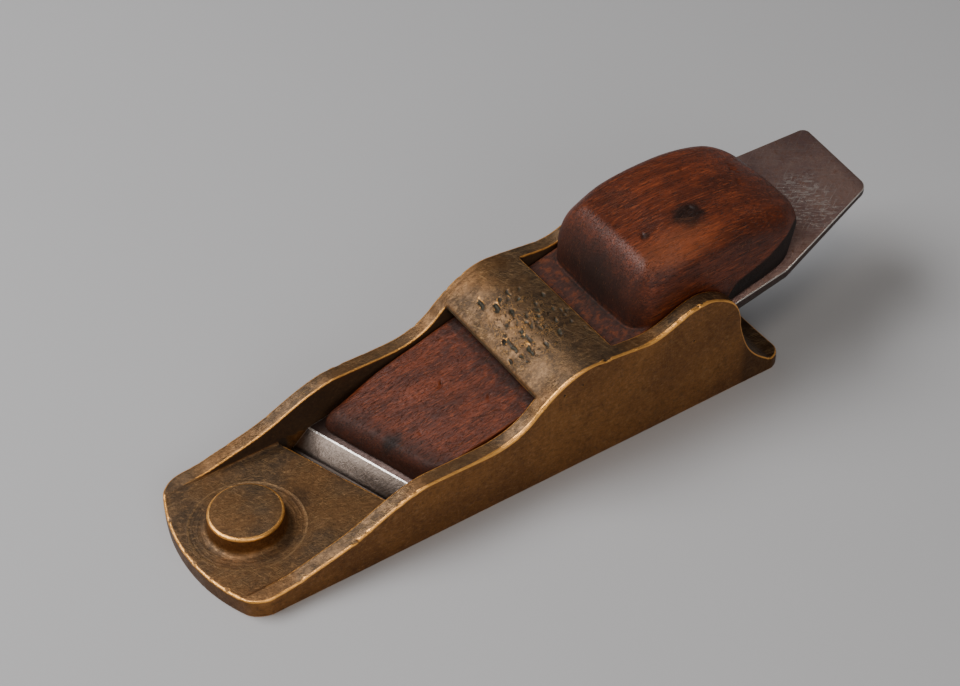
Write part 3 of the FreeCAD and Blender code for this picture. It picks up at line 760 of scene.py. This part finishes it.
def wedge_wood():
    """A dark red-brown hardwood, oiled by hands, with its grain along the plane."""
    n = Nodes("wedge_wood")
    cloud = n.noise(0.07, 5, 0.65)
    # A lighter patch on the swell's top towards its left front corner: partly wear, partly a painted highlight.
    lit_and_worn_swell_corner = n.step(n.distance_to((48.0, -16.0, 50.0), (0.4, 0.9, 2.2)), 10.0, 2.0)
    band = n.noise(0.3, 5, 0.6, stretch=(0.16, 1.0, 0.8), turn=(0.0, 0.0, 0.06))
    fibre = n.noise(2.0, 5, 0.7, stretch=(0.07, 1.0, 1.0), turn=(0.0, 0.06, 0.06), offset=(3.0, 1.0, 7.0))
    pores = n.noise(3.4, 2, 0.6, stretch=(0.1, 1.0, 1.0), turn=(0.0, 0.06, 0.06), offset=(5.0, 5.0, 5.0))
    mottle = n.noise(0.5, 6, 0.7, offset=(6.0, 2.0, 4.0))
    base = n.mix(n.step(band, 0.3, 0.7), colour(72, 31, 16), colour(110, 50, 26))
    base = n.mix(n.math("MULTIPLY", n.step(cloud, 0.44, 0.64), 0.5), base, colour(60, 29, 19))
    base = n.mix(n.math("MULTIPLY", n.step(fibre, 0.5, 0.62), 0.6), base, colour(58, 27, 16))
    base = n.mix(n.math("MULTIPLY", n.step(fibre, 0.46, 0.36), 0.4), base, colour(158, 80, 42))
    pore = n.step(pores, 0.58, 0.66)
    base = n.mix(n.math("MULTIPLY", pore, 0.7), base, colour(36, 18, 11))

    along = n.axis(n.place, "X")
    height = n.axis(n.place, "Z")
    behind_bridge = n.math("MULTIPLY", n.step(along, 22.0, 27.0), n.step(height, 33.0, 31.0))
    flat_colour = n.mix(n.step(mottle, 0.47, 0.62), colour(48, 29, 24), colour(92, 46, 24))
    base = n.mix(n.math("MULTIPLY", behind_bridge, 0.8), base, flat_colour)
    near_bridge = n.math("MULTIPLY", n.step(along, -6.0, 3.0), n.step(mottle, 0.4, 0.6))
    near_bridge = n.math("MULTIPLY", near_bridge, n.step(along, 26.0, 22.0))
    base = n.mix(n.math("MULTIPLY", near_bridge, 0.6), base, colour(44, 26, 22))
    # A darker band on the wedge where it runs under the bridge: dirt and painted shade.
    bridge_slot_dirt_and_shade = n.math("MULTIPLY", n.step(along, 2.8, 4.6), n.step(along, 28.0, 27.0))
    base = n.mix(n.math("MULTIPLY", bridge_slot_dirt_and_shade, 0.6), base, colour(26, 16, 12))
    from_nose = n.math("ADD", along, n.math("MULTIPLY", n.axis(n.place, "Y"), SKEW))
    towards_nose = n.math("MULTIPLY", n.step(from_nose, -22.0, -31.0), 0.7)
    base = n.mix(towards_nose, base, colour(34, 20, 15))

    def stain(centre, stretch, low, high, strength, tone):
        ragged = n.math("MULTIPLY", n.math("SUBTRACT", mottle, 0.5), 4.5)
        away = n.math("ADD", n.distance_to(centre, stretch), ragged)
        return n.mix(n.math("MULTIPLY", n.step(away, high, low), strength), base, tone)

    soot = colour(26, 17, 14)
    base = stain((-28.5, -3.0, 14.5), (0.7, 0.8, 0.5), 0.5, 3.2, 0.85, soot)
    base = stain((61.7, -7.7, 51.0), (0.8, 0.9, 0.3), 2.4, 4.8, 0.92, soot)
    base = stain((48.6, -6.6, 49.6), (1.2, 1.5, 0.3), 0.8, 2.4, 0.85, soot)
    base = stain((SWELL_LOW[0], -1.0, 38.0), (0.35, 0.28, 0.36), 0.6, 4.8, 0.8, colour(26, 18, 15))
    base = stain((SWELL_HIGH[0] - 3.0, 9.0, 45.0), (0.6, 0.3, 0.5), 0.0, 3.4, 0.75, soot)

    above_shank = n.step(height, 31.2, 32.6)
    front = n.math("MULTIPLY", n.step(along, SWELL_LOW[0] + 6.5, SWELL_LOW[0] + 0.8), above_shank)
    base = n.mix(n.math("MULTIPLY", front, 0.75), base, colour(38, 20, 14))
    scratch_one = hairlines(n, 0.5, 0.22, 0.13, (4.0, 3.0, 3.0), 0.1)
    scratch_two = hairlines(n, -0.35, 0.22, 0.14, (8.0, 2.0, 6.0), 0.1)
    scratch = n.math("MAXIMUM", scratch_one, scratch_two)
    scratch = n.math("MULTIPLY", scratch, n.step(n.noise(0.09, 3, offset=(2.0, 0.0, 0.0)), 0.45, 0.62))
    base = n.mix(n.math("MULTIPLY", scratch, 0.16), base, colour(180, 116, 74))
    base = n.mix(n.math("MULTIPLY", lit_and_worn_swell_corner, 0.32), base, colour(158, 88, 54))
    wear = n.attribute("wear")
    base = n.mix(n.math("MULTIPLY", n.step(wear, 0.2, 0.7), 0.3), base, colour(160, 86, 46))
    # Painted shade with dirt on the swell's tucked sides and rear.
    tuck_shade_and_dirt = n.attribute("tuck_shade_and_dirt")
    base = n.mix(n.math("MULTIPLY", tuck_shade_and_dirt, 0.94), base, colour(16, 11, 8))
    enclosure_dirt_and_shade = n.attribute("enclosure_dirt_and_shade")
    # Hollows are darkened as dirt and painted shade.
    dirt_and_shade_mask = n.step(enclosure_dirt_and_shade, 0.16, 0.5)
    base = n.mix(n.math("MULTIPLY", dirt_and_shade_mask, 0.85), base, colour(24, 14, 10))
    n.put(n.shader.inputs["Base Color"], base)
    gloss = n.blend(n.step(mottle, 0.35, 0.65), 0.3, 0.44)
    dull = n.math("MAXIMUM", behind_bridge, n.math("MAXIMUM", towards_nose, front))
    n.put(n.shader.inputs["Roughness"], n.blend(n.math("MAXIMUM", dull, tuck_shade_and_dirt), gloss, 0.7))
    n.shader.inputs["Specular IOR Level"].default_value = 0.27
    low = n.bump(n.math("MULTIPLY", pore, -1.0), 0.08)
    grained = n.bump(fibre, 0.12, under=low)
    n.put(n.shader.inputs["Normal"], n.bump(n.math("SUBTRACT", mottle, scratch), 0.06, under=grained))
    return n.material


def old_iron():
    """A tarnished forged blade: brown-grey with rust specks and bright rubbed patches, painted shade on the faces
    that do not face up, and upward edges painted bright.
    """
    n = Nodes("old_iron")
    bloom = n.noise(0.1, 5, 0.6)
    mottle = n.noise(0.7, 6, 0.72, offset=(4.0, 2.0, 0.0))
    speck = n.noise(2.2, 4, 0.7, offset=(1.0, 6.0, 0.0))
    base = n.mix(n.step(bloom, 0.35, 0.65), colour(118, 94, 90), colour(140, 114, 106))
    base = n.mix(n.math("MULTIPLY", n.step(mottle, 0.48, 0.68), 0.75), base, colour(104, 72, 58))
    base = n.mix(n.math("MULTIPLY", n.step(speck, 0.6, 0.7), 0.75), base, colour(140, 78, 44))
    base = n.mix(n.math("MULTIPLY", n.step(speck, 0.4, 0.32), 0.5), base, colour(66, 50, 46))
    scratch_one = hairlines(n, 0.75, 0.2, 0.1, (2.0, 2.0, 2.0), 0.12)
    scratch_two = hairlines(n, -0.5, 0.22, 0.12, (6.0, 0.0, 1.0), 0.14)
    worn_zone = n.math("ADD", n.distance_to((106.5, -5.0, 33.5), (0.1, 0.09, 0.1)),
                       n.math("MULTIPLY", n.math("SUBTRACT", bloom, 0.5), 2.4))
    rubbed = n.step(worn_zone, 1.2, 0.5)
    flecks = n.noise(1.2, 3, 0.7, stretch=(0.35, 1.3, 1.0), turn=(0.0, 0.0, 0.7), offset=(3.0, 3.0, 3.0))
    scratch = n.math("MULTIPLY", n.math("MAXIMUM", scratch_one, scratch_two), n.blend(rubbed, 0.22, 1.0))
    bright = n.math("MULTIPLY", rubbed, n.step(flecks, 0.53, 0.6))
    bright = n.math("MAXIMUM", bright, scratch)
    base = n.mix(n.math("MULTIPLY", bright, 0.6), base, colour(214, 200, 192))
    # Painted shade: the iron's faces that do not face up are darkened.
    under = n.step(n.axis(n.normal, "Z"), 0.6, 0.2)
    base = n.mix(n.math("MULTIPLY", under, 0.8), base, colour(44, 34, 30))
    ahead = n.step(n.axis(n.place, "X"), -10.0, -22.0)
    base = n.mix(n.math("MULTIPLY", ahead, 0.75), base, colour(44, 34, 30))
    ground = n.attribute("ground")
    marks, steel = ground_look(n)
    base = n.mix(ground, base, steel)
    # Upward rounded edges painted bright: partly worn metal, partly a painted highlight.
    edge = n.attribute("edge")
    base = n.mix(edge, base, colour(232, 224, 216))
    n.put(n.shader.inputs["Base Color"], base)
    n.put(n.shader.inputs["Metallic"], n.blend(ground, 0.8, 1.0))
    rough = n.blend(n.step(mottle, 0.4, 0.7), 0.36, 0.55)
    rough = n.blend(bright, rough, 0.22)
    rough = n.blend(ground, rough, n.blend(marks, 0.3, 0.46))
    n.put(n.shader.inputs["Roughness"], n.blend(edge, rough, 0.24))
    pitting = n.bump(mottle, 0.12)
    n.put(n.shader.inputs["Normal"], n.bump(n.math("SUBTRACT", speck, marks), 0.04, under=pitting))
    return n.material


def ground_look(n):
    """Grinding marks up the bevel, and the colour of the bright steel, with painted shade near the cutting edge.
    """
    marks = n.noise(4.0, 3, 0.6, stretch=(0.05, 1.0, 0.3), turn=(0.0, 0.0, math.atan(SKEW)))
    mottle = n.noise(0.4, 5, 0.6, offset=(3.0, 3.0, 0.0))
    steel = n.mix(n.step(marks, 0.3, 0.7), colour(98, 87, 79), colour(122, 109, 100))
    steel = n.mix(n.math("MULTIPLY", n.step(mottle, 0.5, 0.7), 0.45), steel, colour(82, 69, 60))
    # Painted shade: the bevel is darkened below about 3 mm, near the cutting edge.
    steel = n.mix(n.math("MULTIPLY", n.step(n.axis(n.place, "Z"), 3.1, 2.3), 0.85), steel, colour(26, 22, 20))
    return marks, steel


def ground_steel():
    """Steel ground bright, with fine marks up the bevel."""
    n = Nodes("ground_steel")
    marks, steel = ground_look(n)
    # Upward rounded edges painted bright: partly worn metal, partly a painted highlight, along the bevel's back
    # too.
    n.put(n.shader.inputs["Base Color"], n.mix(n.attribute("edge"), steel, colour(236, 230, 224)))
    n.shader.inputs["Metallic"].default_value = 1.0
    n.put(n.shader.inputs["Roughness"], n.blend(marks, 0.3, 0.46))
    n.put(n.shader.inputs["Normal"], n.bump(marks, 0.03))
    return n.material


# ---------------------------------------------------------------- pieces


def frame_nodes(body):
    """The CAD nodes that make up one body."""
    return frame["record"]["behaviour"]["bodies"][body]


def make_casting_and_wedge():
    """The two sculpted pieces, with the numbers on their vertices that their materials read."""
    step = 0.34 if FINE else 0.6
    low = (TOE_LOW[0], -HALF_WIDTH, 0.0)
    casting_grid = make_grid(low, (HEEL_HIGH[0], HALF_WIDTH, CHEEK_HIGH[2]), step)
    casting_field = shape_casting(casting_grid)
    wedge_low = (SHANK_LOW[0], -WEDGE_HALF, SHANK_LOW[2])
    wedge_grid = make_grid(wedge_low, SWELL_HIGH + (1.0, 0.0, 0.5), step)
    wedge_field = shape_wedge(wedge_grid)

    casting = mesh_object("plane_casting", *skin(casting_grid, casting_field))
    thin_out(casting, 196_000)
    store_wear(casting, casting_grid, casting_field, edge_wear_and_glint)
    places, _ = vertex_arrays(casting)
    x, y, z = places.T
    level = np.interp(x, *np.array(cheek_top_line()).T)
    on_bridge = (x > BRIDGE_LOW[0]) & (x < BRIDGE_HIGH[0]) & (np.abs(y) < INNER) & (z > level - 1.2)
    store(casting, "pits", np.where(on_bridge, (level - 0.06 - z) / 0.12, 0.0))
    centre = np.exp(-(((x - 15.0) / 8.0) ** 2) - ((y + 2.0) / 11.0) ** 2)
    store(casting, "patch", np.where(z > level - 1.2, centre, 0.0))
    # Painted shade: the cheeks' faces inside, and everything under the bridge's front lip, the sole there too.
    on_inner_wall = (np.abs(np.abs(y) - INNER) < 0.25) & (z < level - 0.5) & (z > PLATFORM + 0.6)
    under_lip = (np.abs(y) < INNER) & (x > BRIDGE_LOW[0] - 1) & (x < BRIDGE_LOW[0] + 6) & (z < BRIDGE_LIP - 0.9)
    store(casting, "inner", 0.85 * (on_inner_wall | under_lip))
    casting.data.materials.append(gunmetal())
    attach(casting, "plane_body")
    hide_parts(*frame_nodes("plane_body"))

    wedge = mesh_object("wooden_wedge", *skin(wedge_grid, wedge_field))
    thin_out(wedge, 150_000)
    store_wear(wedge, wedge_grid, wedge_field)
    places, normals = vertex_arrays(wedge)
    x, y, z = places.T
    # Painted shade with dirt: below the tuck line, the swell's faces that do not face up are painted near black,
    # most on the left side.
    tucked = ramp(swell_tuck(x) - z, -0.4, 1.0) * ramp(-normals[:, 2], -0.35, -0.2) * (x > SWELL_LOW[0] + 12.0)
    store(wedge, "tuck_shade_and_dirt", tucked * (0.4 + 0.6 * ramp(-y, -2.0, 14.0)))
    wedge.data.materials.append(wedge_wood())
    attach(wedge, "wedge")
    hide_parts(*frame_nodes("wedge"))


def soften_edges(piece, width):
    """Joins flat faces, rounds every sharp edge and marks the rounded strips for the material."""
    shape = bmesh.new()
    shape.from_mesh(piece.data)
    bmesh.ops.remove_doubles(shape, verts=shape.verts, dist=0.02 * MM)
    bmesh.ops.dissolve_limit(shape, angle_limit=math.radians(0.8), verts=shape.verts, edges=shape.edges)
    shape.to_mesh(piece.data)
    shape.free()
    rounded = piece.modifiers.new("rounded", "BEVEL")
    rounded.width = width * MM
    rounded.segments = 3
    rounded.angle_limit = math.radians(12)
    rounded.material = 1
    rounded.harden_normals = True
    apply_modifiers(piece)
    mesh = piece.data
    strip = np.zeros(len(mesh.polygons), np.int32)
    mesh.polygons.foreach_get("material_index", strip)
    mesh.polygons.foreach_set("material_index", np.zeros(len(strip), np.int32))
    mesh.polygons.foreach_set("use_smooth", np.ones(len(strip), bool))
    normals = np.array([face.normal for face in mesh.polygons])
    edge = mesh.attributes.new("edge", "FLOAT", "FACE")
    height = np.array([face.center.z for face in mesh.polygons]) / MM
    # Rounded strips that face up, above the weld, are painted bright: partly worn metal, partly a painted
    # highlight.
    above_weld = height > 3.4
    bright = (strip == 1) & (normals[:, 2] > 0.25) & above_weld
    edge.data.foreach_set("value", bright.astype(np.float32))
    return mesh, strip, normals


def make_iron():
    """The iron and its laid steel: a ground bevel, and upward rounded edges painted bright, partly worn metal and
    partly a painted highlight, which also runs along the bevel's back.
    """
    for node, name, slot, material in (
        ("iron_blank", "iron_plate", "old_iron", old_iron()),
        ("steel_bit", "laid_steel", "laid_steel", ground_steel()),
    ):
        piece = bpy.data.objects.new(name, frame["nodes"][node].data.copy())
        bpy.context.scene.collection.objects.link(piece)
        piece.data.materials.clear()
        for _ in ("faces", "rounded strips"):
            piece.data.materials.append(material)
        mesh, strip, normals = soften_edges(piece, 0.3 if node == "iron_blank" else 0.12)
        mesh.materials.pop()
        slope = -normals[:, 0] / np.maximum(normals[:, 2], 1e-6)
        bevel = (strip == 0) & (normals[:, 2] > 0.5) & (slope > 0.35)
        ground = mesh.attributes.new("ground", "FLOAT", "FACE")
        ground.data.foreach_set("value", bevel.astype(np.float32))
        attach(piece, "iron")
        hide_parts(node)


# ---------------------------------------------------------------- stage, light and camera


def make_floor():
    """A plain pale floor."""
    half = 3.0
    mesh = bpy.data.meshes.new("floor")
    corners = [(-half, -half, 0), (half, -half, 0), (half, half, 0), (-half, half, 0)]
    mesh.from_pydata(corners, [], [(0, 1, 2, 3)])
    floor = bpy.data.objects.new("floor", mesh)
    bpy.context.scene.collection.objects.link(floor)
    n = Nodes("floor_paint")
    cloud = n.noise(0.004, 3)
    n.put(n.shader.inputs["Base Color"], n.mix(cloud, (0.42, 0.42, 0.43, 1), (0.46, 0.46, 0.47, 1)))
    n.shader.inputs["Roughness"].default_value = 0.7
    mesh.materials.append(n.material)


def add_softbox(name, place, size, power, target=(0.01, 0.0, 0.02), tint=(1.0, 1.0, 1.0)):
    """A soft rectangular light that faces the plane, in metres and watts."""
    light = bpy.data.lights.new(name, "AREA")
    light.shape = "RECTANGLE"
    light.size, light.size_y = size
    light.energy = power
    light.color = tint
    lamp = bpy.data.objects.new(name, light)
    bpy.context.scene.collection.objects.link(lamp)
    lamp.location = place
    lamp.rotation_euler = (Vector(place) - Vector(target)).to_track_quat("Z", "Y").to_euler()


def make_lights():
    """Soft studio light: a key from the far front, a fill from the near side and a small warm one above."""
    world = bpy.data.worlds.new("studio")
    bpy.context.scene.world = world
    world.use_nodes = True
    world.node_tree.nodes["Background"].inputs["Color"].default_value = (1.0, 1.0, 1.0, 1.0)
    world.node_tree.nodes["Background"].inputs["Strength"].default_value = 0.14
    add_softbox("key", (-0.45, 0.35, 0.75), (0.7, 0.5), 9.0)
    add_softbox("fill", (-0.2, -0.9, 0.5), (0.8, 0.5), 2.8)
    add_softbox("top", (-0.25, -0.36, 0.88), (0.3, 0.3), 1.8, tint=(1.0, 0.88, 0.76))


def make_camera():
    """The photograph's view: from the front left, 43 degrees down, with a long lens."""
    azimuth, elevation, roll = -0.572, 0.749, -0.017
    distance, target = 0.6071, Vector((0.01967, 0.02823, 0.0))
    back = Vector((math.sin(azimuth) * math.cos(elevation), -math.cos(azimuth) * math.cos(elevation),
                   math.sin(elevation)))
    right = (-back).cross(Vector((0, 0, 1))).normalized()
    up = right.cross(-back)
    turned_right = right * math.cos(roll) + up * math.sin(roll)
    turned_up = up * math.cos(roll) - right * math.sin(roll)
    camera = bpy.data.cameras.new("camera")
    camera.sensor_width = 36.0
    camera.lens = 81.6
    camera.clip_start = 0.01
    holder = bpy.data.objects.new("camera", camera)
    bpy.context.scene.collection.objects.link(holder)
    turn = Matrix((turned_right, turned_up, back)).transposed()
    holder.matrix_world = Matrix.Translation(target + back * distance) @ turn.to_4x4()
    bpy.context.scene.camera = holder


make_camera()
make_lights()
make_floor()
make_casting_and_wedge()
make_iron()
